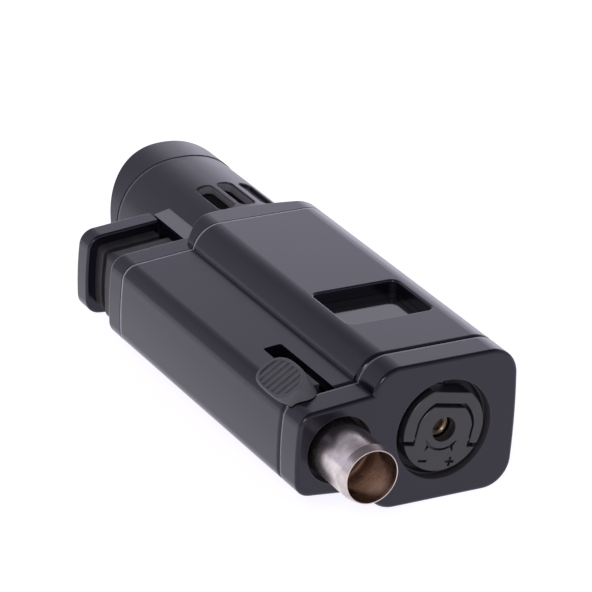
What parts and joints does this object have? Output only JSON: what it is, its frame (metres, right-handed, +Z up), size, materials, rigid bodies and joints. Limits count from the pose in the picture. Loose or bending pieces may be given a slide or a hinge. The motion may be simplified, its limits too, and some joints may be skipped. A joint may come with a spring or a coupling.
{
  "type": "pocket butane torch",
  "caption": "Pocket butane torch with a two-lobed black casing, slotted burner hood, press trigger, sliding punch tube and a flame dial with a fold-out wing.",
  "frame": {"origin": "centre of the refill port on the base face", "axes": "+X across the width towards the tank side, +Y along the body from the base to the burner, +Z up, away from the flat back it lies on"},
  "size_m": [0.0358, 0.0977, 0.022],
  "materials": {
    "black_enamel": "satin gloss",
    "tank_smoke": "polished, smoked",
    "black_plastic": "satin",
    "grip": "fine matte",
    "plated": "polished nickel",
    "brass": "turned",
    "steel": "bright",
    "rubber": "dull",
    "ceramic": "glazed",
    "lead": "smooth"
  },
  "bodies": {
    "casing": {"main_shell": "black_enamel", "base_cap": "black_enamel", "head_cap": "black_enamel", "head_collar": "black_plastic", "burner_hood": "black_enamel", "hood_ring": "black_enamel", "hood_baffle": "black_enamel", "burner_plate": "steel", "plate_screws": "steel", "mixer_tube": "brass", "flame_cup": "steel", "flame_disc": "steel", "electrode": "steel", "electrode_insulator": "ceramic", "spark_lead": "lead", "gas_tube": "rubber", "valve_body": "brass", "lever_pin": "steel", "fuel_tank": "tank_smoke", "tank_lid": "tank_smoke", "igniter_case": "black_plastic", "punch_guide": "black_plastic", "detent_spring": "steel", "fill_valve_body": "brass", "fill_seal": "rubber", "fill_spring": "steel", "cap_screws": "steel", "trigger_spring": "steel"},
    "trigger": {"trigger_cap": "black_enamel", "trigger_stem": "black_plastic", "igniter_plunger": "black_plastic"},
    "lever": {"gas_lever": "black_plastic"},
    "nipple": {"valve_nipple": "brass"},
    "punch": {"punch_tube": "plated", "punch_piston": "plated", "punch_carrier": "black_plastic", "slider_pad": "grip"},
    "dial": {"adjuster_dial": "black_enamel", "wing_pins": "steel", "adjuster_screw": "brass"},
    "wing": {"adjuster_wing": "black_enamel"},
    "refill_stem": {"fill_stem": "brass"}
  },
  "joints": [
    {"name": "trigger_press", "type": "slide", "parent": "casing", "child": "trigger", "axis": [0, -1, 0], "range_m": [0, 0.0036], "stiffness_N_per_m": 600, "springref_m": -0.003, "deforming": ["trigger_spring"]},
    {"name": "gas_lever_turn", "type": "hinge", "parent": "casing", "child": "lever", "pos_m": [-0.0109, 0.0524, 0], "axis": [0, 0, 1], "range_deg": [0, 7.6]},
    {"name": "gas_valve_lift", "type": "slide", "parent": "casing", "child": "nipple", "axis": [0, 1, 0], "range_m": [0, 0.00095]},
    {"name": "punch_retract", "type": "slide", "parent": "casing", "child": "punch", "axis": [0, 1, 0], "range_m": [0, 0.0091]},
    {"name": "flame_adjust", "type": "hinge", "parent": "casing", "child": "dial", "pos_m": [0, 0, 0], "axis": [0, 1, 0], "range_deg": [-90, 90]},
    {"name": "wing_flip", "type": "hinge", "parent": "dial", "child": "wing", "pos_m": [-0.00033, 0.00062, -0.00162], "axis": [0.9799, 0, -0.1994], "range_deg": [0, 90]},
    {"name": "refill_press", "type": "slide", "parent": "casing", "child": "refill_stem", "axis": [0, 1, 0], "range_m": [0, 0.001], "stiffness_N_per_m": 400, "springref_m": -0.002, "deforming": ["fill_spring"]}
  ],
  "couplings": [
    {"joint": "gas_lever_turn", "follows": "trigger_press", "rad_per_m": 35.8},
    {"joint": "gas_valve_lift", "follows": "trigger_press", "ratio": 0.2564}
  ]
}
